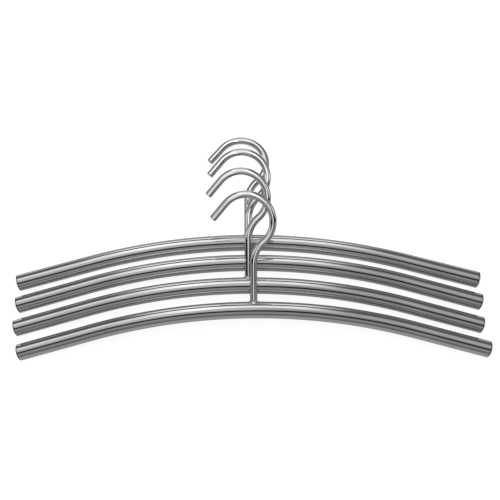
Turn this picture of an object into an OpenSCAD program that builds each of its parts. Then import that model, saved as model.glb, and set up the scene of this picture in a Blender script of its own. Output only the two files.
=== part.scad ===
// Four curved tube hangers for trousers, lying on a surface as a staggered row.
// X runs along the bars, Y runs from the front of the row to the back, and Z is up.
// The origin is under the middle of the whole row, on the surface that it lies on.
// The rearmost hanger lies flat, and the neck of each other one rests on the bar behind it.

/* [Bar] */
// Distance between the centres of the bar's two open ends
bar_span = 450; // [380:1:520]
// Outer diameter of the bar's tube
tube_d = 16; // [14:0.5:20]
// Wall of the bar's tube
tube_wall = 1; // [0.8:0.1:1.5]
// Angle that each half of the bar drops away from the middle
shoulder_angle = 15.2; // [10:0.1:20]
// Length of the straight stretch at each end of the bar
end_straight = 72; // [50:1:100]

/* [Hook] */
// Diameter of the hook's rod
rod_d = 7; // [5:0.5:8]
// Length of the straight neck, from the middle line of the bar
neck_length = 44; // [40:1:60]
// Radius of the bend where the neck turns aside, along the middle of the rod
neck_bend_radius = 28; // [20:1:32]
// Angle of that bend
neck_bend_angle = 48; // [40:1:55]
// Length of the straight stretch between that bend and the hook's arc
throat_length = 1.4; // [0.5:0.1:6]
// Radius of the hook's arc, along the middle of the rod
hook_radius = 25.5; // [22:0.5:30]
// Angle that the hook's arc turns through
hook_turn = 187.5; // [175:0.5:195]
// Length of the straight tip
tip_length = 19; // [12:1:26]
// Chamfer round the tip's cut end
tip_chamfer = 0.6; // [0.3:0.1:1]
// Depth that the rod's foot reaches into the tube's bore
foot_depth = 2; // [1:0.5:4]
// Space round the rod's foot in its drilled hole
hole_clearance = 0.1; // [0.05:0.05:0.2]
// Width of the weld bead where it meets the bar
weld_width = 1.8; // [1:0.1:2.5]
// Height of the weld bead on the rod, above the top of the bar
weld_height = 1.6; // [1:0.1:2.5]
// Thickness of the weld bead at its top
weld_crest = 0.3; // [0.2:0.1:0.6]

/* [End caps] */
// Bulge of the cap's domed face
cap_bulge = 1.8; // [1:0.1:3]
// Thickness of the cap's rim, outside the tube
cap_rim = 0.6; // [0.4:0.1:1]
// Step between the tube's outer face and the cap's rim
cap_step = 0.4; // [0.2:0.1:0.8]
// Length of the cap's spigot, inside the tube
spigot_length = 10; // [6:1:16]
// Wall of the cap's spigot
spigot_wall = 1.5; // [1:0.1:2]
// Space round the spigot in the tube's bore
spigot_clearance = 0.05; // [0.05:0.05:0.15]

/* [Row of hangers] */
// Distance from the rearmost bar to the second one, measured flat
second_pitch = 22.9; // [21:0.1:28]
// Distance from the second bar to the third one
third_pitch = 24; // [21:0.1:28]
// Distance from the third bar to the front one
front_pitch = 24.6; // [21:0.1:28]
// Sideways place of the rearmost hanger
rear_shift = -2; // [-6:0.1:6]
// Sideways place of the second hanger
second_shift = -1.1; // [-6:0.1:6]
// Sideways place of the third hanger
third_shift = -1.7; // [-6:0.1:6]
// Sideways place of the front hanger
front_shift = 3.2; // [-6:0.1:6]
// Gap between a neck and the bar that it rests on
rest_gap = 0.3; // [0.2:0.1:0.5]

/* [Hidden] */

$fn = 96;

LEFT = -1;
RIGHT = 1;
// Length by which a cutting shape runs past the face that it cuts
CUT_PAST = 1;
// Height and length of the faint ring that joins each bend to a straight stretch as one solid
RING_RISE = 0.02;
RING_LENGTH = 0.2;
// Depth that the bead's cone starts below the tube's face, before the tube cuts it
WELD_SINK = 0.5;
// Angle range and number of halvings in the search for a resting tilt
STEEPEST_TILT = 60;
TILT_HALVINGS = 30;

tube_r = tube_d / 2;
bore_r = tube_r - tube_wall;
rod_r = rod_d / 2;

// Radius of the bar's arc along the middle of the tube, from the span and the two straight ends
arc_radius = (bar_span / 2 - end_straight * cos(shoulder_angle)) / sin(shoulder_angle);
// Distance that the bar's ends lie below its middle, in the hanger's own plane
drop = arc_radius * (1 - cos(shoulder_angle)) + end_straight * sin(shoulder_angle);

// Height of the middle of a bar that is tilted with both ends on the surface
function bar_height(tilt) = drop * sin(tilt) + tube_r * sqrt(1 - pow(sin(shoulder_angle) * sin(tilt), 2));

// Distance from the middle line of a tilted neck to the middle line of the bar behind it
function neck_distance(tilt, pitch, height_behind) =
    pitch * sin(tilt) + (bar_height(tilt) - height_behind) * cos(tilt);

// Tilt at which a neck rests on the bar behind it, found by halving the range that holds it
function resting_tilt(pitch, height_behind, low = 0, high = STEEPEST_TILT, left = TILT_HALVINGS) =
    let (middle = (low + high) / 2)
    left == 0 ? middle
    : neck_distance(middle, pitch, height_behind) < tube_r + rod_r + rest_gap
        ? resting_tilt(pitch, height_behind, middle, high, left - 1)
        : resting_tilt(pitch, height_behind, low, middle, left - 1);

second_tilt = resting_tilt(second_pitch, bar_height(0));
third_tilt = resting_tilt(third_pitch, bar_height(second_tilt));
front_tilt = resting_tilt(front_pitch, bar_height(third_tilt));

tilts = [0, second_tilt, third_tilt, front_tilt];
shifts = [rear_shift, second_shift, third_shift, front_shift];
setbacks = [0, second_pitch, second_pitch + third_pitch, second_pitch + third_pitch + front_pitch];

// Middle of the row, from the outermost bars and from the rearmost crown to the front bar's ends
row_middle_x = (max(shifts) + min(shifts)) / 2;
row_back = neck_length + (neck_bend_radius + hook_radius) * sin(neck_bend_angle)
    + throat_length * cos(neck_bend_angle) + hook_radius + rod_r;
row_front = -setbacks[3] - drop * cos(front_tilt)
    - tube_r * sqrt(pow(cos(shoulder_angle) * cos(front_tilt), 2) + pow(sin(front_tilt), 2));
row_middle_y = (row_back + row_front) / 2;

// Puts a shape that is drawn in a hanger's own plane where that hanger lies in the row
module in_row(i) {
    translate([shifts[i] - row_middle_x, -setbacks[i] - row_middle_y, bar_height(tilts[i])])
    rotate([tilts[i], 0, 0])
    children();
}

// Goes to the centre of one open end of the bar, with Z pointing out of the tube
module at_bar_end(side) {
    translate([side * bar_span / 2, -drop, 0])
    rotate([0, 0, -side * shoulder_angle])
    rotate([0, side * 90, 0])
    children();
}

// Round solid of one radius along the bar's middle line, run past both ends by the given length
module along_bar(radius, past) {
    translate([0, -arc_radius, 0])
    rotate_extrude(angle = 2 * shoulder_angle, start = 90 - shoulder_angle, $fn = 360)
    translate([arc_radius, 0])
    circle(r = radius);
    for (side = [LEFT, RIGHT])
        at_bar_end(side)
        translate([0, 0, -end_straight - RING_LENGTH / 2])
        cylinder(r = radius + RING_RISE, h = RING_LENGTH);
    for (side = [LEFT, RIGHT])
        at_bar_end(side)
        translate([0, 0, -end_straight])
        cylinder(r = radius, h = end_straight + past);
}

// Bar of one hanger: a bent tube, drilled at the top of its middle for the rod's foot
module bar_tube() {
    color("silver")
    difference() {
        along_bar(tube_r, 0);
        along_bar(bore_r, CUT_PAST);
        rotate([-90, 0, 0])
        cylinder(r = rod_r + hole_clearance, h = tube_r + CUT_PAST);
    }
}

// Bend of the rod in the hanger's plane, from a point where the rod heads along Y.
// A turn above zero bends to the left, and one below zero bends to the right.
module rod_bend(radius, turn) {
    side = turn > 0 ? LEFT : RIGHT;
    translate([side * radius, 0, 0])
    rotate_extrude(angle = turn, start = turn > 0 ? 0 : 180, $fn = 180)
    translate([radius, 0])
    circle(r = rod_r);
}

// Straight stretch of the rod, heading along Y
module rod_straight(length) {
    rotate([-90, 0, 0])
    cylinder(r = rod_r, h = length);
}

// Faint ring round the rod where a bend meets a straight stretch
module rod_ring() {
    translate([0, -RING_LENGTH / 2, 0])
    rotate([-90, 0, 0])
    cylinder(r = rod_r + RING_RISE, h = RING_LENGTH);
}

// Moves on to the end of a bend, and heads the way that the bend leaves
module after_bend(radius, turn) {
    side = turn > 0 ? LEFT : RIGHT;
    translate([side * radius * (1 - cos(turn)), radius * sin(abs(turn)), 0])
    rotate([0, 0, turn])
    children();
}

// Places along the rod, each heading the way that the rod does there
module at_neck_top() {
    translate([0, neck_length, 0])
    children();
}
module at_throat() {
    at_neck_top()
    after_bend(neck_bend_radius, -neck_bend_angle)
    children();
}
module at_hook_start() {
    at_throat()
    translate([0, throat_length, 0])
    children();
}
module at_hook_end() {
    at_hook_start()
    after_bend(hook_radius, hook_turn)
    children();
}

// Straight tip of the hook, heading along Y, with a chamfered end
module rod_tip() {
    rod_straight(tip_length - tip_chamfer);
    translate([0, tip_length - tip_chamfer, 0])
    rotate([-90, 0, 0])
    cylinder(r1 = rod_r, r2 = rod_r - tip_chamfer, h = tip_chamfer);
}

// Hook of one hanger: one rod, bent aside above its neck and then round into the hook
module hook_rod() {
    foot = bore_r - foot_depth;
    color("gainsboro") {
        at_neck_top() rod_bend(neck_bend_radius, -neck_bend_angle);
        at_hook_start() rod_bend(hook_radius, hook_turn);
        at_neck_top() rod_ring();
        at_throat() rod_ring();
        at_hook_start() rod_ring();
        at_hook_end() rod_ring();
        translate([0, foot, 0]) rod_straight(neck_length - foot);
        at_throat() rod_straight(throat_length);
        at_hook_end() rod_tip();
    }
}

// Weld bead round the foot of the rod, cut to the top of the tube that it sits on.
// The bar's arc is so wide that a straight tube makes that cut.
module hook_weld() {
    foot_r = rod_r + weld_width;
    foot_y = sqrt(pow(tube_r, 2) - pow(foot_r, 2)) - WELD_SINK;
    bead_height = tube_r + weld_height - foot_y;
    color("darkgray")
    difference() {
        translate([0, foot_y, 0])
        rotate([-90, 0, 0])
        cylinder(r1 = foot_r, r2 = rod_r + weld_crest, h = bead_height);
        rotate([-90, 0, 0])
        cylinder(r = rod_r, h = tube_r + weld_height + CUT_PAST);
        translate([-tube_d, 0, 0])
        rotate([0, 90, 0])
        cylinder(r = tube_r, h = 2 * tube_d);
    }
}

// End cap of the bar: a domed face on a rim, with a hollow spigot inside the tube
module end_cap(side) {
    rim_r = tube_r - cap_step;
    spigot_r = bore_r - spigot_clearance;
    dome_r = (pow(rim_r, 2) + pow(cap_bulge, 2)) / (2 * cap_bulge);
    color("whitesmoke")
    at_bar_end(side) {
        cylinder(r = rim_r, h = cap_rim);
        translate([0, 0, cap_rim])
        intersection() {
            translate([0, 0, cap_bulge - dome_r])
            sphere(r = dome_r, $fn = 180);
            cylinder(r = rim_r, h = cap_bulge);
        }
        translate([0, 0, -spigot_length])
        difference() {
            cylinder(r = spigot_r, h = spigot_length);
            translate([0, 0, -CUT_PAST])
            cylinder(r = spigot_r - spigot_wall, h = spigot_length);
        }
    }
}

module hanger_1_bar_tube() { in_row(0) bar_tube(); }
module hanger_1_hook_rod() { in_row(0) hook_rod(); }
module hanger_1_hook_weld() { in_row(0) hook_weld(); }
module hanger_1_left_cap() { in_row(0) end_cap(LEFT); }
module hanger_1_right_cap() { in_row(0) end_cap(RIGHT); }

module hanger_2_bar_tube() { in_row(1) bar_tube(); }
module hanger_2_hook_rod() { in_row(1) hook_rod(); }
module hanger_2_hook_weld() { in_row(1) hook_weld(); }
module hanger_2_left_cap() { in_row(1) end_cap(LEFT); }
module hanger_2_right_cap() { in_row(1) end_cap(RIGHT); }

module hanger_3_bar_tube() { in_row(2) bar_tube(); }
module hanger_3_hook_rod() { in_row(2) hook_rod(); }
module hanger_3_hook_weld() { in_row(2) hook_weld(); }
module hanger_3_left_cap() { in_row(2) end_cap(LEFT); }
module hanger_3_right_cap() { in_row(2) end_cap(RIGHT); }

module hanger_4_bar_tube() { in_row(3) bar_tube(); }
module hanger_4_hook_rod() { in_row(3) hook_rod(); }
module hanger_4_hook_weld() { in_row(3) hook_weld(); }
module hanger_4_left_cap() { in_row(3) end_cap(LEFT); }
module hanger_4_right_cap() { in_row(3) end_cap(RIGHT); }

hanger_1_bar_tube();
hanger_1_hook_rod();
hanger_1_hook_weld();
hanger_1_left_cap();
hanger_1_right_cap();

hanger_2_bar_tube();
hanger_2_hook_rod();
hanger_2_hook_weld();
hanger_2_left_cap();
hanger_2_right_cap();

hanger_3_bar_tube();
hanger_3_hook_rod();
hanger_3_hook_weld();
hanger_3_left_cap();
hanger_3_right_cap();

hanger_4_bar_tube();
hanger_4_hook_rod();
hanger_4_hook_weld();
hanger_4_left_cap();
hanger_4_right_cap();
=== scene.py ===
"""Looks of a staggered row of four curved tube hangers for trousers.

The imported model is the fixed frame. Each hanger's bar, hook, weld bead and two
end caps are built again here as smooth pieces at the same places, and dressed
as polished, plated steel under a plain soft studio light.
"""
import logging
import math
from dataclasses import dataclass, field
from enum import Enum
from typing import Any

import bmesh
import bpy
from mathutils import Matrix, Vector


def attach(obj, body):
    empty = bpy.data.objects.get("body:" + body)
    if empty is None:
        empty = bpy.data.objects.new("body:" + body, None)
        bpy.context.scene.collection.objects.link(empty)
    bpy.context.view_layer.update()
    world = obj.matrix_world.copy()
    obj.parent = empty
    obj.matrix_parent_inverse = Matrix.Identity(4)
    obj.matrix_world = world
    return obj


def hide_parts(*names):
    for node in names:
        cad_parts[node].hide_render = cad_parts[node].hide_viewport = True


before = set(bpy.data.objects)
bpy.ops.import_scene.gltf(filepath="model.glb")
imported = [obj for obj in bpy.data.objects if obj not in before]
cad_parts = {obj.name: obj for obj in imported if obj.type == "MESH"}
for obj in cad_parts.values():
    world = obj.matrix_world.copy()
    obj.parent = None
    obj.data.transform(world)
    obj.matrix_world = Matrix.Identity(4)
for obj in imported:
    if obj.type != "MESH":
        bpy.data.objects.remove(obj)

MM = 0.001
IMAGE_WIDTH = 500
OWN_COORDINATES = "own_place"
MERGE_MM = 0.001
SHARP_EDGE = math.radians(30)

Colour = tuple[float, float, float, float]

log = logging.getLogger("hangers")


class Side(Enum):
    """The two ends of a bar, with the sign of their X."""

    LEFT = -1
    RIGHT = 1

    @property
    def word(self) -> str:
        """Word for this side in the names of pieces."""
        return self.name.lower()


class Slot(Enum):
    """The record's material slots."""

    TUBE = "polished_tube"
    ROD = "polished_rod"
    WELD = "weld_bead"
    CAP = "end_cap"


# Colours and nodes


def linear(code: str) -> Colour:
    """Turns an sRGB hex colour into linear values.

    Args:
        code: Six hex digits.

    Returns:
        Red, green, blue and an alpha of 1.
    """
    parts = [int(code[i:i + 2], 16) / 255 for i in (0, 2, 4)]
    red, green, blue = (
        p / 12.92 if p <= 0.04045 else ((p + 0.055) / 1.055) ** 2.4 for p in parts
    )
    return red, green, blue, 1.0


def add_node(tree: bpy.types.NodeTree, kind: str, inputs: dict[Any, Any] | None = None,
             **settings: Any) -> bpy.types.Node:
    """Adds a node, sets its properties, and sets or links its inputs.

    Args:
        tree: Node tree that gets the node.
        kind: Type name of the node.
        inputs: Socket name or number, with a value or an output to link.
        settings: Properties of the node.

    Returns:
        The new node.
    """
    node = tree.nodes.new(kind)
    for name, value in settings.items():
        setattr(node, name, value)
    for key, value in (inputs or {}).items():
        if isinstance(value, bpy.types.NodeSocket):
            tree.links.new(value, node.inputs[key])
        else:
            node.inputs[key].default_value = value
    return node


def math_node(tree: bpy.types.NodeTree, operation: str, *values: Any) -> bpy.types.NodeSocket:
    """Adds a Math node on the given values or outputs and returns its output."""
    node = add_node(tree, "ShaderNodeMath", dict(enumerate(values)), operation=operation)
    return node.outputs[0]


def range_node(tree: bpy.types.NodeTree, value: bpy.types.NodeSocket,
               source: tuple[float, float], target: tuple[float, float] = (0.0, 1.0),
               **settings: Any) -> bpy.types.NodeSocket:
    """Adds a Map Range node.

    Args:
        tree: Node tree that gets the node.
        value: Output that is mapped.
        source: Values that the target's two ends stand for.
        target: Values at the two ends.
        settings: Properties of the node.

    Returns:
        The node's output.
    """
    node = add_node(tree, "ShaderNodeMapRange", {
        "Value": value, "From Min": source[0], "From Max": source[1],
        "To Min": target[0], "To Max": target[1]}, **settings)
    return node.outputs["Result"]


def bump_node(tree: bpy.types.NodeTree, height: bpy.types.NodeSocket, depth_mm: float,
              normal: bpy.types.NodeSocket | None = None) -> bpy.types.NodeSocket:
    """Adds a Bump node.

    Args:
        tree: Node tree that gets the node.
        height: Output with the height, from 0 to 1.
        depth_mm: Depth of the relief, in mm.
        normal: Output of a bump that lies under this one, if there is one.

    Returns:
        The node's normal.
    """
    inputs = {"Height": height, "Strength": 1.0, "Distance": depth_mm * MM}
    if normal is not None:
        inputs["Normal"] = normal
    return add_node(tree, "ShaderNodeBump", inputs).outputs["Normal"]


def ramp_node(tree: bpy.types.NodeTree, factor: bpy.types.NodeSocket,
              stops: list[tuple[float, Colour]]) -> bpy.types.NodeSocket:
    """Adds a colour ramp.

    Args:
        tree: Node tree that gets the ramp.
        factor: Output that the ramp reads.
        stops: Positions from 0 to 1, each with its linear colour.

    Returns:
        The ramp's colour output.
    """
    node = add_node(tree, "ShaderNodeValToRGB", {"Fac": factor})
    elements = node.color_ramp.elements
    while len(elements) < len(stops):
        elements.new(0.5)
    for element, (position, colour) in zip(elements, stops):
        element.position = position
        element.color = colour
    return node.outputs["Color"]


def grey(level: float) -> Colour:
    """Linear grey of one level."""
    return level, level, level, 1.0


def new_material(name: str) -> tuple[bpy.types.Material, bpy.types.NodeTree, bpy.types.Node]:
    """Starts a node material.

    Args:
        name: Name of the material.

    Returns:
        The material, its empty tree, and its output node.
    """
    material = bpy.data.materials.new(name)
    material.use_nodes = True
    material.node_tree.nodes.clear()
    output = add_node(material.node_tree, "ShaderNodeOutputMaterial")
    return material, material.node_tree, output


def own_place(tree: bpy.types.NodeTree) -> bpy.types.NodeSocket:
    """Adds the node that reads a point's place on its own straightened piece."""
    node = add_node(tree, "ShaderNodeAttribute", attribute_name=OWN_COORDINATES)
    return node.outputs["Vector"]


def metal(tree: bpy.types.NodeTree, output: bpy.types.Node, colour: bpy.types.NodeSocket,
          roughness: bpy.types.NodeSocket, normal: bpy.types.NodeSocket) -> None:
    """Adds a metal shader and links it to the material's output.

    Args:
        tree: Node tree of the material.
        output: The material's output node.
        colour: Output with the colour.
        roughness: Output with the roughness.
        normal: Output with the normal.
    """
    shader = add_node(tree, "ShaderNodeBsdfPrincipled", {
        "Base Color": colour, "Metallic": 1.0, "Roughness": roughness, "Normal": normal})
    tree.links.new(shader.outputs["BSDF"], output.inputs["Surface"])


# Finishes


@dataclass(frozen=True)
class PolishedPlate:
    """Bright plated steel, polished along the length of a tube or rod.

    Gives the eye sharp reflections that waver a little, a faint haze in
    clouds, and fine lines that run the way the metal was drawn. Where it is given
    a gap shade, the last stretch at each end is painted shade of the gap under a cap.
    """

    name: str
    tone: str = "D9D7D8"
    cloud_tone: str = "D0CECF"
    cloud_levels: tuple[float, float] = (0.35, 0.7)
    clear_roughness: float = 0.015
    hazy_roughness: float = 0.045
    haze_levels: tuple[float, float] = (0.15, 0.4)
    cloud_mm: float = 14.0
    # Real polishing lines are too fine to show, so these are drawn coarser.
    line_mm: float = 0.16
    line_length_mm: float = 9.0
    line_depth_mm: float = 0.0001
    wave_mm: float = 9.0
    wave_depth_mm: float = 0.003
    # Colour of the painted shade in the gap where each cap meets the tube.
    gap_shade_tone: str = "6C6A6B"
    # The gap where a cap meets the tube is too fine to show, so its shade is painted into the
    # colour as a wider dark band.
    gap_shade_mm: float = 0.0
    gap_shade_fade: float = 0.3
    length_mm: float = 0.0

    def material(self) -> bpy.types.Material:
        """Builds the material.

        Returns:
            The material.
        """
        material, tree, output = new_material(self.name)
        own = own_place(tree)
        clouds = self._noise(tree, own, (self.cloud_mm * 2, self.cloud_mm, self.cloud_mm), 3.0)
        lines = self._noise(tree, own, (self.line_length_mm, self.line_mm, self.line_mm), 2.0)
        waves = self._noise(tree, own, (self.wave_mm * 3, self.wave_mm, self.wave_mm), 1.0)
        tones = (linear(self.tone), linear(self.cloud_tone))
        colour = ramp_node(tree, clouds, list(zip(self.cloud_levels, tones)))
        # Paints the shade of the gap under each cap as a dark band at both ends.
        if self.gap_shade_mm:
            colour = self._with_seam(tree, own, colour)
        haze = math_node(tree, "MULTIPLY", clouds, lines)
        roughness = range_node(tree, haze, self.haze_levels,
                               (self.clear_roughness, self.hazy_roughness))
        fine = bump_node(tree, lines, self.line_depth_mm)
        broad = bump_node(tree, waves, self.wave_depth_mm, fine)
        metal(tree, output, colour, roughness, broad)
        return material

    def _with_seam(self, tree: bpy.types.NodeTree, own: bpy.types.NodeSocket,
                   colour: bpy.types.NodeSocket) -> bpy.types.NodeSocket:
        """Paints the shade of the gap under each cap into a colour, as a dark band at both ends
        of the piece.

        Args:
            tree: Node tree of the material.
            own: Output with the place on the straightened piece.
            colour: Output with the colour without the painted shade.

        Returns:
            Output with the colour and the painted shade.
        """
        along = add_node(tree, "ShaderNodeSeparateXYZ", {0: own}).outputs["X"]
        half = self.length_mm / 2 * MM
        gap_shade_width = self.gap_shade_mm * MM
        off = math_node(tree, "ABSOLUTE", math_node(tree, "SUBTRACT", along, half))
        # Mask of the painted gap shade: 1 over the last stretch at each end, fading inwards.
        edge = range_node(tree, off, (half - gap_shade_width, half - gap_shade_width * (1 - self.gap_shade_fade)))
        return add_node(tree, "ShaderNodeMix", {0: edge, 6: colour, 7: linear(self.gap_shade_tone)},
                        data_type="RGBA").outputs[2]

    @staticmethod
    def _noise(tree: bpy.types.NodeTree, own: bpy.types.NodeSocket,
               size_mm: tuple[float, float, float], detail: float) -> bpy.types.NodeSocket:
        """Adds noise whose spots have a given size.

        Args:
            tree: Node tree of the material.
            own: Output with the place on the straightened piece.
            size_mm: Size of a spot along and across the piece, in mm.
            detail: Number of finer layers.

        Returns:
            The noise, from 0 to 1.
        """
        scale = tuple(1 / (s * MM) for s in size_mm)
        place = add_node(tree, "ShaderNodeMapping", {"Vector": own, "Scale": scale})
        return add_node(tree, "ShaderNodeTexNoise", {
            "Vector": place.outputs["Vector"], "Scale": 1.0, "Detail": detail,
            "Roughness": 0.5}).outputs["Fac"]


@dataclass(frozen=True)
class PlatedWeld:
    """Weld bead under plating.

    Gives the eye a softer shine than the rod, with the bead's small pits.
    """

    name: str
    tone: str = "DADADC"
    pit_tone: str = "A9A8AA"
    tone_levels: tuple[float, float] = (0.3, 0.5)
    pit_mm: float = 0.5
    pit_depth_mm: float = 0.05
    pit_roughness: float = 0.3
    clear_roughness: float = 0.12
    roughness_levels: tuple[float, float] = (0.3, 0.7)

    def material(self) -> bpy.types.Material:
        """Builds the material.

        Returns:
            The material.
        """
        material, tree, output = new_material(self.name)
        own = own_place(tree)
        pits = add_node(tree, "ShaderNodeTexNoise", {
            "Vector": own, "Scale": 1 / (self.pit_mm * MM), "Detail": 4.0}).outputs["Fac"]
        tones = (linear(self.pit_tone), linear(self.tone))
        colour = ramp_node(tree, pits, list(zip(self.tone_levels, tones)))
        roughness = range_node(tree, pits, self.roughness_levels,
                               (self.pit_roughness, self.clear_roughness))
        metal(tree, output, colour, roughness, bump_node(tree, pits, self.pit_depth_mm))
        return material


@dataclass(frozen=True)
class SatinCap:
    """Pressed end cap with a satin plate.

    Gives the eye a soft light lens at the bar's end, with faint turned rings.
    """

    name: str
    tone: str = "F0F0F1"
    smudge_tone: str = "E2E2E4"
    tone_levels: tuple[float, float] = (0.35, 0.75)
    # Real turned rings are too fine to show, so these are drawn coarser.
    ring_mm: float = 0.35
    ring_depth_mm: float = 0.003
    ring_waver: float = 0.4
    smudge_mm: float = 3.0
    clear_roughness: float = 0.3
    smudge_roughness: float = 0.42
    roughness_levels: tuple[float, float] = (0.3, 0.7)

    def material(self) -> bpy.types.Material:
        """Builds the material.

        Returns:
            The material.
        """
        material, tree, output = new_material(self.name)
        own = own_place(tree)
        smudges = add_node(tree, "ShaderNodeTexNoise", {
            "Vector": own, "Scale": 1 / (self.smudge_mm * MM), "Detail": 3.0}).outputs["Fac"]
        # A wave texture of scale 1 has a ring every 2 pi / 20 of a unit.
        rings = add_node(tree, "ShaderNodeTexWave", {
            "Vector": own, "Scale": 2 * math.pi / (20 * self.ring_mm * MM),
            "Distortion": self.ring_waver, "Detail": 1.0},
            wave_type="RINGS", rings_direction="X").outputs["Fac"]
        tones = (linear(self.tone), linear(self.smudge_tone))
        colour = ramp_node(tree, smudges, list(zip(self.tone_levels, tones)))
        roughness = range_node(tree, smudges, self.roughness_levels,
                               (self.clear_roughness, self.smudge_roughness))
        metal(tree, output, colour, roughness, bump_node(tree, rings, self.ring_depth_mm))
        return material


# Shapes


class Sweep:
    """A round section that is drawn along straights and bends.

    Each point keeps its own place on the straightened piece, so that drawn
    lines in the finish follow the bends.
    """

    def __init__(self, shape: bmesh.types.BMesh, radius: float, start: Vector,
                 heading: Vector, segments: int) -> None:
        """Starts with one ring.

        Args:
            shape: Mesh that the sweep is drawn in.
            radius: Radius of the section, in metres.
            start: Middle of the first ring.
            heading: Direction that the sweep leaves in.
            segments: Number of points round the section.
        """
        self.shape = shape
        self.heading = heading.normalized()
        self.middle = start.copy()
        self.layer = own_layer(shape)
        turn = Vector((0, 0, 1)).rotation_difference(self.heading).to_matrix().to_4x4()
        made = bmesh.ops.create_circle(
            shape, cap_ends=False, radius=radius, segments=segments,
            matrix=Matrix.Translation(start) @ turn)
        self.ring = made["verts"]
        for index, point in enumerate(self.ring):
            round_about = 2 * math.pi * index / segments
            point[self.layer] = Vector((0, math.cos(round_about), math.sin(round_about))) * radius
        self.edges = sorted({e for v in self.ring for e in v.link_edges}, key=lambda e: e.index)
        self.first_edges = list(self.edges)

    def _draw(self, move: Matrix, length: float) -> None:
        """Draws the last ring on by one step.

        Args:
            move: Movement from the last ring to the next.
            length: Length of the step along the middle line.
        """
        made = bmesh.ops.extrude_edge_only(self.shape, edges=self.edges)["geom"]
        self.ring = [g for g in made if isinstance(g, bmesh.types.BMVert)]
        self.edges = [g for g in made if isinstance(g, bmesh.types.BMEdge)]
        bmesh.ops.transform(self.shape, matrix=move, verts=self.ring)
        for point in self.ring:
            point[self.layer] = point[self.layer] + Vector((length, 0, 0))
        self.middle = move @ self.middle

    def straight(self, length: float, steps: int = 1) -> "Sweep":
        """Draws a straight stretch along the heading.

        Args:
            length: Length of the stretch.
            steps: Number of steps.

        Returns:
            The sweep itself.
        """
        for _ in range(steps):
            self._draw(Matrix.Translation(self.heading * (length / steps)), length / steps)
        return self

    def bend(self, radius: float, turn: float, steps: int) -> "Sweep":
        """Draws a bend in the hanger's own plane.

        Args:
            radius: Radius of the bend along the middle line.
            turn: Angle in radians, above zero to the left.
            steps: Number of steps.

        Returns:
            The sweep itself.
        """
        side = Vector((-self.heading.y, self.heading.x, 0)) * math.copysign(1, turn)
        centre = self.middle + side * radius
        step = Matrix.Rotation(turn / steps, 4, "Z")
        move = Matrix.Translation(centre) @ step @ Matrix.Translation(-centre)
        for _ in range(steps):
            self._draw(move, radius * abs(turn) / steps)
        self.heading = Matrix.Rotation(turn, 3, "Z") @ self.heading
        return self

    def narrow(self, by: float, forward: float) -> "Sweep":
        """Draws the ring inwards while it moves forward.

        Args:
            by: Length that the radius shrinks by.
            forward: Length of the move.

        Returns:
            The sweep itself.
        """
        self._draw(Matrix.Translation(self.heading * forward), forward)
        centre = self.middle
        radius = (self.ring[0].co - centre).length
        bmesh.ops.scale(self.shape, vec=Vector.Fill(3, (radius - by) / radius),
                        space=Matrix.Translation(-centre), verts=self.ring)
        return self

    def close(self) -> "Sweep":
        """Closes the last ring with a face."""
        bmesh.ops.edgeloop_fill(self.shape, edges=self.edges)
        return self


def own_layer(shape: bmesh.types.BMesh) -> bmesh.types.BMLayerItem:
    """Point layer that holds a point's place on its own straightened piece."""
    layers = shape.verts.layers.float_vector
    return layers.get(OWN_COORDINATES) or layers.new(OWN_COORDINATES)


def follow(shape: bmesh.types.BMesh, start: bmesh.types.BMVert,
           points: list[tuple[float, float, float]]) -> bmesh.types.BMVert:
    """Draws an edge from a point through more points.

    Args:
        shape: Mesh that gets the edges.
        start: Point to start from.
        points: Places of the next points.

    Returns:
        The last point.
    """
    last = start
    for place in points:
        made = bmesh.ops.extrude_vert_indiv(shape, verts=[last])["verts"]
        last = made[0]
        last.co = Vector(place)
    return last


def spin_round(shape: bmesh.types.BMesh, axis: tuple[float, float, float], steps: int) -> None:
    """Spins the outline in a mesh once round an axis through the origin.

    Args:
        shape: Mesh with nothing in it but the outline.
        axis: Direction of the axis.
        steps: Number of steps.
    """
    bmesh.ops.spin(shape, geom=shape.verts[:] + shape.edges[:], cent=(0, 0, 0), axis=axis,
                   dvec=(0, 0, 0), angle=2 * math.pi, steps=steps, use_merge=True,
                   use_duplicate=False)
    bmesh.ops.remove_doubles(shape, verts=shape.verts, dist=MERGE_MM * MM)


def round_edges(shape: bmesh.types.BMesh, edges: list[bmesh.types.BMEdge], width_mm: float,
                segments: int) -> None:
    """Rounds edges.

    Args:
        shape: Mesh that the edges are in.
        edges: The edges.
        width_mm: Width of the rounding on either side, in mm.
        segments: Number of faces across the rounding.
    """
    bmesh.ops.bevel(shape, geom=edges, offset=width_mm * MM, offset_type="OFFSET",
                    affect="EDGES", segments=segments, profile=0.5, material=-1)


def as_object(name: str, shape: bmesh.types.BMesh,
              material: bpy.types.Material) -> bpy.types.Object:
    """Turns a shape into a dressed object in the scene.

    Args:
        name: Name of the object and its mesh.
        shape: The shape, which is freed.
        material: Finish.

    Returns:
        The object.
    """
    mesh = bpy.data.meshes.new(name)
    shape.to_mesh(mesh)
    shape.free()
    mesh.materials.append(material)
    made = bpy.data.objects.new(name, mesh)
    bpy.context.scene.collection.objects.link(made)
    return made


@dataclass(frozen=True)
class RowPlace:
    """Where one hanger lies in the row, in mm and degrees."""

    number: int
    shift: float
    back: float
    height: float
    tilt: float

    @property
    def body(self) -> str:
        """Name of the hanger's body."""
        return f"hanger_{self.number}"

    def matrix(self) -> Matrix:
        """Movement from the hanger's own plane to the row."""
        place = Vector((self.shift, self.back, self.height)) * MM
        return Matrix.Translation(place) @ Matrix.Rotation(math.radians(self.tilt), 4, "X")


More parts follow.
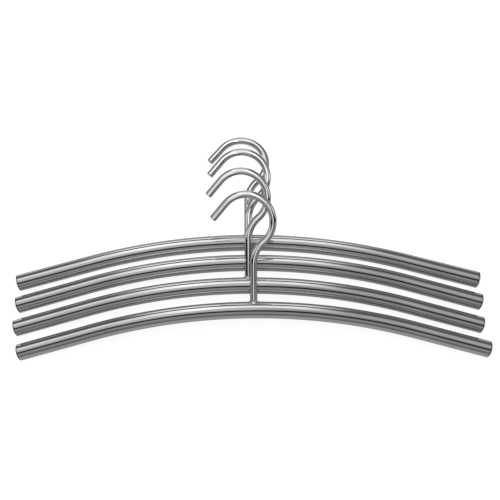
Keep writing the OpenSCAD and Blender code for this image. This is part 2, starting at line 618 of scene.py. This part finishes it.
@dataclass(frozen=True)
class BarTube:
    """Bent tube that the trousers hang over. Sizes in mm and degrees."""

    span: float = 450
    diameter: float = 16
    wall: float = 1
    shoulder_angle: float = 15.2
    end_straight: float = 72
    rim_round: float = 0.15
    # Short stretch of close rings at each end, which keeps the rim's shading crisp.
    end_margin: float = 1.5
    segments: int = 96
    outer_steps: tuple[int, int] = (10, 56)
    inner_steps: tuple[int, int] = (2, 14)

    @property
    def length(self) -> float:
        """Length of the tube along its middle."""
        return 2 * (self.end_straight + self.arc_radius * math.radians(self.shoulder_angle))

    @property
    def arc_radius(self) -> float:
        """Radius of the arc along the middle of the tube."""
        shoulder = math.radians(self.shoulder_angle)
        return (self.span / 2 - self.end_straight * math.cos(shoulder)) / math.sin(shoulder)

    @property
    def drop(self) -> float:
        """Distance that the ends lie below the middle."""
        shoulder = math.radians(self.shoulder_angle)
        return self.arc_radius * (1 - math.cos(shoulder)) + self.end_straight * math.sin(shoulder)

    def end(self, side: Side) -> tuple[Vector, Vector]:
        """Finds one open end.

        Args:
            side: End of the bar.

        Returns:
            The middle of the end, in metres, and the direction out of it.
        """
        shoulder = math.radians(self.shoulder_angle)
        middle = Vector((side.value * self.span / 2, -self.drop, 0)) * MM
        return middle, Vector((side.value * math.cos(shoulder), -math.sin(shoulder), 0))

    def _skin(self, shape: bmesh.types.BMesh, radius: float, steps: tuple[int, int]) -> Sweep:
        """Sweeps one skin of the tube from its left end to its right end.

        Args:
            shape: Mesh that gets the skin.
            radius: Radius of the skin, in mm.
            steps: Number of steps in each straight stretch and in the arc.

        Returns:
            The finished sweep.
        """
        straight_steps, arc_steps = steps
        start, outwards = self.end(Side.LEFT)
        skin = Sweep(shape, radius * MM, start, -outwards, self.segments)
        margin = self.end_margin * MM
        rest = self.end_straight * MM - margin
        skin.straight(margin, 2).straight(rest, straight_steps)
        skin.bend(self.arc_radius * MM, -2 * math.radians(self.shoulder_angle), arc_steps)
        return skin.straight(rest, straight_steps).straight(margin, 2)

    def build(self) -> bmesh.types.BMesh:
        """Builds the tube, open at both ends, with softly rounded rims.

        Returns:
            The tube's mesh, in the hanger's own plane. It has no hole for the rod,
            whose foot goes through the wall under the bead.
        """
        shape = bmesh.new()
        outer = self._skin(shape, self.diameter / 2, self.outer_steps)
        inner = self._skin(shape, self.diameter / 2 - self.wall, self.inner_steps)
        rims: list[bmesh.types.BMEdge] = []
        for loops in (outer.first_edges + inner.first_edges, outer.edges + inner.edges):
            rims += loops
            bmesh.ops.bridge_loops(shape, edges=loops)
        round_edges(shape, rims, self.rim_round, 3)
        return shape


@dataclass(frozen=True)
class HookRod:
    """Rod of the neck and the hook, bent from one length. Sizes in mm and degrees."""

    diameter: float = 7
    foot: float = 5
    neck: float = 44
    neck_bend_radius: float = 28
    neck_bend_angle: float = 48
    throat: float = 1.4
    hook_radius: float = 25.5
    hook_turn: float = 187.5
    tip: float = 19
    tip_chamfer: float = 0.6
    tip_round: float = 0.12
    # Short last stretch, which keeps the shading crisp beside the chamfer.
    tip_margin: float = 0.5
    segments: int = 64
    neck_steps: int = 16
    neck_bend_steps: int = 22
    hook_steps: int = 84
    tip_steps: int = 6

    def build(self) -> bmesh.types.BMesh:
        """Builds the rod from its foot in the tube to its chamfered tip.

        Returns:
            The rod's mesh, in the hanger's own plane.
        """
        shape = bmesh.new()
        rod = Sweep(shape, self.diameter / 2 * MM, Vector((0, self.foot * MM, 0)),
                    Vector((0, 1, 0)), self.segments)
        bmesh.ops.edgeloop_fill(shape, edges=rod.first_edges)
        rod.straight((self.neck - self.foot) * MM, self.neck_steps)
        rod.bend(self.neck_bend_radius * MM, -math.radians(self.neck_bend_angle),
                 self.neck_bend_steps)
        rod.straight(self.throat * MM)
        rod.bend(self.hook_radius * MM, math.radians(self.hook_turn), self.hook_steps)
        plain_tip = self.tip - self.tip_chamfer
        rod.straight((plain_tip - self.tip_margin) * MM, self.tip_steps)
        rod.straight(self.tip_margin * MM)
        shoulder = list(rod.edges)
        rod.narrow(self.tip_chamfer * MM, self.tip_chamfer * MM)
        shoulder += rod.edges
        rod.close()
        round_edges(shape, shoulder, self.tip_round, 2)
        return shape


@dataclass(frozen=True)
class WeldBead:
    """Bead round the foot of the rod, on the top of the tube. Sizes in mm."""

    rod_diameter: float = 7
    tube_diameter: float = 16
    width: float = 1.8
    height: float = 1.6
    # Depths that the bead goes into the tube and the rod, out of sight.
    sink: float = 0.5
    grip: float = 0.15
    # The skin beside the rod, up to here, stays round.
    still: float = 0.05
    ripple: float = 0.07
    ripples: int = 26
    ripple_drift: float = 1.7
    uneven: float = 0.12
    uneven_turn: float = 0.6
    flank_steps: int = 8
    spin_steps: int = 144

    def build(self) -> bmesh.types.BMesh:
        """Builds the bead by spinning its hollow flank, then lays its foot on the tube.

        Returns:
            The bead's mesh, in the hanger's own plane.
        """
        shape = bmesh.new()
        layer = own_layer(shape)
        rod = self.rod_diameter / 2
        top = self.tube_diameter / 2
        inside, foot = rod - self.grip, top - self.sink
        first = bmesh.ops.create_vert(shape, co=Vector((inside, foot, 0)) * MM)["vert"][0]
        flank = []
        for step in range(self.flank_steps + 1):
            angle = math.pi / 2 * step / self.flank_steps
            flank.append((rod + self.width * (1 - math.sin(angle)),
                          top + self.height * (1 - math.cos(angle))))
        outline = [(rod + self.width, foot), *flank, (inside, top + self.height), (inside, foot)]
        follow(shape, first, [(x * MM, y * MM, 0) for x, y in outline])
        spin_round(shape, (0, 1, 0), self.spin_steps)
        for point in shape.verts:
            self._lay(point, rod, top)
            point[layer] = point.co.copy()
        return shape

    def _lay(self, point: bmesh.types.BMVert, rod: float, top: float) -> None:
        """Ripples one point of the bead and lowers it on to the tube's round top.

        Args:
            point: Point of the spun bead.
            rod: Radius of the rod, in mm.
            top: Radius of the tube, in mm.
        """
        x, y, z = (c / MM for c in point.co)
        out = math.hypot(x, z)
        if out > rod + self.still:
            angle = math.atan2(z, x)
            middle = math.sin(math.pi * min(1, max(0, (y - top) / self.height)))
            wave = math.sin(self.ripples * angle + self.ripple_drift * math.sin(3 * angle))
            lean = math.sin(2 * angle + self.uneven_turn)
            grown = out + self.ripple * wave * middle + self.uneven * lean * middle
            x, z = x * grown / out, z * grown / out
        share = min(1, max(0, (top + self.height - y) / self.height))
        y += share * (math.sqrt(top * top - z * z) - top)
        point.co = Vector((x, y, z)) * MM


@dataclass(frozen=True)
class EndCap:
    """Domed cap with a hollow spigot in the bar's end. Sizes in mm."""

    rim_radius: float = 7.6
    crown: float = 2.4
    rim: float = 0.25
    seat: float = 0.02
    spigot_radius: float = 6.85
    spigot_wall: float = 1.4
    spigot_length: float = 10
    chamfer: float = 0.4
    floor: float = 1
    dome_steps: int = 24
    spin_steps: int = 96

    def build(self, bar: BarTube, side: Side) -> bmesh.types.BMesh:
        """Builds the cap by spinning its half outline, and puts it in one end of the bar.

        Args:
            bar: Bar that the cap closes.
            side: End of the bar.

        Returns:
            The cap's mesh, in the hanger's own plane.
        """
        shape = bmesh.new()
        layer = own_layer(shape)
        bulge = self.crown - self.rim
        dome = (self.rim_radius ** 2 + bulge ** 2) / (2 * bulge)
        pole = bmesh.ops.create_vert(shape, co=Vector((self.crown, 0, 0)) * MM)["vert"][0]
        reach = math.asin(self.rim_radius / dome)
        outline = []
        for step in range(1, self.dome_steps + 1):
            angle = reach * step / self.dome_steps
            outline.append((self.crown - dome * (1 - math.cos(angle)), dome * math.sin(angle)))
        inner = self.spigot_radius - self.spigot_wall
        outline += [(self.seat, self.rim_radius), (self.seat, self.spigot_radius),
                    (self.chamfer - self.spigot_length, self.spigot_radius),
                    (-self.spigot_length, self.spigot_radius - self.chamfer),
                    (-self.spigot_length, inner), (-self.floor, inner), (-self.floor, 0)]
        follow(shape, pole, [(x * MM, y * MM, 0) for x, y in outline])
        spin_round(shape, (1, 0, 0), self.spin_steps)
        for point in shape.verts:
            point[layer] = point.co.copy()
        middle, outwards = bar.end(side)
        turn = Matrix.Rotation(math.atan2(outwards.y, outwards.x), 4, "Z")
        bmesh.ops.transform(shape, matrix=Matrix.Translation(middle) @ turn, verts=shape.verts)
        return shape


@dataclass
class Finishes:
    """One material for each of the record's slots."""

    tube: bpy.types.Material = field(init=False)
    rod: bpy.types.Material = field(init=False)
    weld: bpy.types.Material = field(init=False)
    cap: bpy.types.Material = field(init=False)

    def __post_init__(self) -> None:
        """Builds the four materials."""
        # The tube's colour carries painted shade of the gap under each cap, at both ends.
        self.tube = PolishedPlate("polished plated tube", gap_shade_mm=0.95,
                                  length_mm=BarTube().length).material()
        self.rod = PolishedPlate("polished plated rod", cloud_mm=9.0, line_mm=0.1,
                                 line_length_mm=7.0, wave_mm=6.0, wave_depth_mm=0.002).material()
        self.weld = PlatedWeld("plated weld bead").material()
        self.cap = SatinCap("satin pressed cap").material()


@dataclass
class Hanger:
    """One hanger: its bar, hook, weld bead and two end caps."""

    place: RowPlace
    finishes: Finishes
    bar: BarTube = field(default_factory=BarTube)
    hook: HookRod = field(default_factory=HookRod)
    bead: WeldBead = field(default_factory=WeldBead)
    cap: EndCap = field(default_factory=EndCap)

    def build(self) -> bpy.types.Object:
        """Builds and dresses the hanger's five pieces.

        Returns:
            The hook.
        """
        self._piece("bar", self.bar.build(), self.finishes.tube, "bar_tube")
        hook = self._piece("hook", self.hook.build(), self.finishes.rod, "hook_rod")
        self._piece("bead", self.bead.build(), self.finishes.weld, "hook_weld")
        for side in Side:
            self._piece(f"{side.word}_end", self.cap.build(self.bar, side), self.finishes.cap,
                        f"{side.word}_cap")
        return hook

    def _piece(self, word: str, shape: bmesh.types.BMesh, material: bpy.types.Material,
               node: str) -> bpy.types.Object:
        """Makes one finished piece that stands for a CAD node.

        Args:
            word: Last part of the piece's name.
            shape: Mesh in the hanger's own plane.
            material: Finish.
            node: Last part of the CAD node's name.

        Returns:
            The piece.
        """
        bmesh.ops.transform(shape, matrix=self.place.matrix(), verts=shape.verts)
        bmesh.ops.recalc_face_normals(shape, faces=shape.faces)
        for face in shape.faces:
            face.smooth = True
        for edge in shape.edges:
            edge.smooth = len(edge.link_faces) != 2 or edge.calc_face_angle(0) < SHARP_EDGE
        piece = as_object(f"{self.place.body}_{word}", shape, material)
        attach(piece, self.place.body)
        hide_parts(f"{self.place.body}_{node}")
        log.info("%s: %d points, %d faces", piece.name, len(piece.data.vertices),
                 len(piece.data.polygons))
        return piece


# Studio


@dataclass(frozen=True)
class Patch:
    """One soft-edged patch of the studio, as the metal sees it.

    Its height is an angle in degrees in the plane that runs from front to back:
    0 is the horizon in front, 90 is overhead and 180 is the horizon behind. Its
    place across runs from -1 at the left to 1 at the right.
    """

    height: float
    half_height: float
    across: float
    half_across: float
    level: float
    soft_height: float = 3.0
    soft_across: float = 0.08


@dataclass(frozen=True)
class Strip:
    """One long softbox overhead, from front to back. Metres."""

    name: str
    across: float
    width: float
    level: float


@dataclass(frozen=True)
class Studio:
    """Pale floor, soft light and the camera at the photograph's angle."""

    elevation: float = 73.5
    distance: float = 0.8273
    aim: tuple[float, float, float] = (-0.0006, -0.00398, 0.0)
    roll: float = -0.387
    focal_pixels: float = 825.7
    sensor_mm: float = 36.0
    floor_radius: float = 1.6
    floor_sides: int = 128
    floor_drop: float = 0.0002
    floor_tone: str = "979293"
    floor_glow: float = 0.9
    floor_in_metal: float = 0.18
    # Beyond the left ends the metal sees a lighter floor: this much lighter, past this edge.
    floor_sheet: float = 0.3
    sheet_edge: tuple[float, float] = (-0.226, -0.246)
    lamp_size: float = 1.2
    lamp_watts: float = 12.0
    lamp_place: tuple[float, float, float] = (-0.1, 0.3, 1.6)
    strips: tuple[Strip, ...] = (
        Strip("wide strip", -0.16, 0.5, 0.75), Strip("narrow strip", 0.17, 0.15, 2.1))
    strip_height: float = 1.2
    strip_back: float = -0.32
    strip_length: float = 1.64
    room: tuple[tuple[float, float], ...] = (
        (0, 0.16), (12, 0.2), (22, 0.18), (30, 0.3), (41.3, 0.37), (52, 0.25), (57, 0.18),
        (60, 0.02), (72, 0.02), (76, 0.2), (81, 0.3), (92.7, 0.5), (105.7, 0.54), (119, 0.5),
        (133.5, 0.24), (149, 0.1), (166, 0.14), (180, 0.14))
    lights: tuple[Patch, ...] = (
        Patch(118, 12, 0.0, 0.2, 0.4, 6, 0.15),
        Patch(121, 4, 0.0, 0.18, 0.6, 3, 0.1),
        Patch(119, 15, -0.35, 0.24, 0.5, 6, 0.12),
        Patch(85, 12, -0.3, 0.34, 0.22, 6, 0.12),
        Patch(135, 6, -0.05, 0.25, 0.95, 4, 0.15),
        Patch(167, 8, -0.04, 0.29, 1.15, 4, 0.15),
        Patch(112, 16, -0.9, 0.12, 0.9, 6),
        Patch(112, 16, 0.9, 0.12, 0.9, 6))
    dark_lens: Patch = Patch(66.5, 5.0, 0.0, 0.12, 0.7, 3.0, 0.06)

    def build(self) -> None:
        """Builds the floor, world, lamp and camera."""
        self._floor()
        self._world()
        self._lamp()
        self._camera()

    def _floor(self) -> None:
        """Round pale floor, white to the eye and pale in the metal, that keeps a soft shadow."""
        shape = bmesh.new()
        bmesh.ops.create_circle(shape, cap_ends=True, segments=self.floor_sides,
                                radius=self.floor_radius,
                                matrix=Matrix.Translation((0, 0, -self.floor_drop)))
        bmesh.ops.recalc_face_normals(shape, faces=shape.faces)
        material, tree, output = new_material("pale floor")
        rays = add_node(tree, "ShaderNodeLightPath").outputs
        seen = math_node(tree, "MULTIPLY", rays["Is Camera Ray"], self.floor_glow)
        other = math_node(tree, "MAXIMUM", rays["Is Glossy Ray"], rays["Is Transmission Ray"])
        place = add_node(tree, "ShaderNodeTexCoord").outputs["Object"]
        across = add_node(tree, "ShaderNodeSeparateXYZ", {0: place}).outputs["X"]
        sheet = range_node(tree, across, self.sheet_edge,
                           (self.floor_in_metal, self.floor_in_metal + self.floor_sheet))
        other = math_node(tree, "MULTIPLY", other, sheet)
        glow = add_node(tree, "ShaderNodeEmission", {
            "Color": grey(1.0), "Strength": math_node(tree, "ADD", seen, other)})
        matt = add_node(tree, "ShaderNodeBsdfDiffuse", {"Color": linear(self.floor_tone)})
        both = add_node(tree, "ShaderNodeAddShader", {0: glow.outputs[0], 1: matt.outputs[0]})
        tree.links.new(both.outputs[0], output.inputs["Surface"])
        as_object("floor", shape, material)

    @staticmethod
    def _cover(tree: bpy.types.NodeTree, height: bpy.types.NodeSocket,
               across: bpy.types.NodeSocket, patch: Patch) -> bpy.types.NodeSocket:
        """How much of a direction a patch covers, times the patch's level.

        Args:
            tree: Node tree of the world.
            height: Output with the direction's height, in degrees.
            across: Output with the direction's place across.
            patch: The patch.

        Returns:
            Output from 0 to the patch's level.
        """
        covers = []
        for place, middle, half, soft in (
                (height, patch.height, patch.half_height, patch.soft_height),
                (across, patch.across, patch.half_across, patch.soft_across)):
            off = math_node(tree, "ABSOLUTE", math_node(tree, "SUBTRACT", place, middle))
            covers.append(range_node(tree, off, (half - soft / 2, half + soft / 2), (1.0, 0.0),
                                     interpolation_type="SMOOTHSTEP"))
        return math_node(tree, "MULTIPLY", math_node(tree, "MULTIPLY", *covers), patch.level)

    def _world(self) -> None:
        """White to the eye. In the metal and as light, a soft grey room with softboxes."""
        world = bpy.data.worlds.new("soft studio")
        bpy.context.scene.world = world
        world.use_nodes = True
        tree = world.node_tree
        tree.nodes.clear()
        output = add_node(tree, "ShaderNodeOutputWorld")
        way = add_node(tree, "ShaderNodeTexCoord").outputs["Generated"]
        parts = add_node(tree, "ShaderNodeSeparateXYZ", {0: way}).outputs
        front = math_node(tree, "MULTIPLY", parts["Y"], -1.0)
        turn = math_node(tree, "ARCTAN2", parts["Z"], front)
        height = math_node(tree, "MULTIPLY", turn, 180 / math.pi)
        share = math_node(tree, "DIVIDE", turn, math.pi)
        level = ramp_node(tree, share, [(angle / 180, grey(tone)) for angle, tone in self.room])
        for patch in self.lights:
            level = math_node(tree, "ADD", level, self._cover(tree, height, parts["X"], patch))
        dark = self._cover(tree, height, parts["X"], self.dark_lens)
        level = math_node(tree, "MULTIPLY", level, math_node(tree, "SUBTRACT", 1.0, dark))
        rays = add_node(tree, "ShaderNodeLightPath").outputs
        room = add_node(tree, "ShaderNodeBackground", {"Color": level, "Strength": 1.0})
        white = add_node(tree, "ShaderNodeBackground", {"Color": grey(1.0), "Strength": 1.0})
        mix = add_node(tree, "ShaderNodeMixShader", {
            0: rays["Is Camera Ray"], 1: room.outputs[0], 2: white.outputs[0]})
        tree.links.new(mix.outputs[0], output.inputs["Surface"])

    def _lamp(self) -> None:
        """Large soft lamp overhead, which gives the floor its light and shadow."""
        light = bpy.data.lights.new("overhead softbox", "AREA")
        light.shape = "DISK"
        light.size = self.lamp_size
        light.energy = self.lamp_watts
        lamp = bpy.data.objects.new("overhead softbox", light)
        lamp.location = self.lamp_place
        lamp.rotation_euler = (-math.atan2(*self.lamp_place[1:]), 0, 0)
        lamp.visible_glossy = False
        bpy.context.scene.collection.objects.link(lamp)

    def hang_strips(self, hooks: list[bpy.types.Object]) -> None:
        """Hangs the softboxes that only the hooks' rods mirror, as a bright core line.

        Args:
            hooks: Pieces that see the strips.
        """
        mirrored = bpy.data.collections.new("hooks under the strips")
        for hook in hooks:
            mirrored.objects.link(hook)
        for strip in self.strips:
            light = bpy.data.lights.new(strip.name, "AREA")
            light.shape = "RECTANGLE"
            light.size = strip.width
            light.size_y = self.strip_length
            # A lamp of this area and power is seen at the strip's level.
            light.energy = strip.level * math.pi * strip.width * self.strip_length
            lamp = bpy.data.objects.new(strip.name, light)
            lamp.location = (strip.across, self.strip_back, self.strip_height)
            lamp.visible_camera = False
            lamp.light_linking.receiver_collection = mirrored
            bpy.context.scene.collection.objects.link(lamp)

    def _camera(self) -> None:
        """Camera at the photograph's angle."""
        data = bpy.data.cameras.new("camera")
        data.sensor_width = self.sensor_mm
        data.lens = self.focal_pixels * self.sensor_mm / IMAGE_WIDTH
        camera = bpy.data.objects.new("camera", data)
        up = math.radians(self.elevation)
        away = Vector((0, -math.cos(up), math.sin(up)))
        turn = (Matrix.Rotation(math.pi / 2 - up, 4, "X")
                @ Matrix.Rotation(math.radians(self.roll), 4, "Z"))
        camera.matrix_world = Matrix.Translation(Vector(self.aim) + away * self.distance) @ turn
        bpy.context.scene.collection.objects.link(camera)
        bpy.context.scene.camera = camera


# Shift, place back, height and tilt that part.scad works out for each hanger.
ROW = (
    RowPlace(1, -2.6, 1.1329, 8.0, 0.0),
    RowPlace(2, -1.7, -21.7671, 15.56, 11.017),
    RowPlace(3, -2.3, -45.7671, 20.19, 17.955),
    RowPlace(4, 2.6, -70.3671, 22.91, 22.164),
)


def main() -> None:
    """Builds the studio and the four hangers."""
    logging.basicConfig(level=logging.INFO, format="%(name)s: %(message)s")
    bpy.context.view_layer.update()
    studio = Studio()
    studio.build()
    finishes = Finishes()
    studio.hang_strips([Hanger(place, finishes).build() for place in ROW])
    bpy.context.scene.view_settings.view_transform = "Standard"


if __name__ == "__main__":
    main()
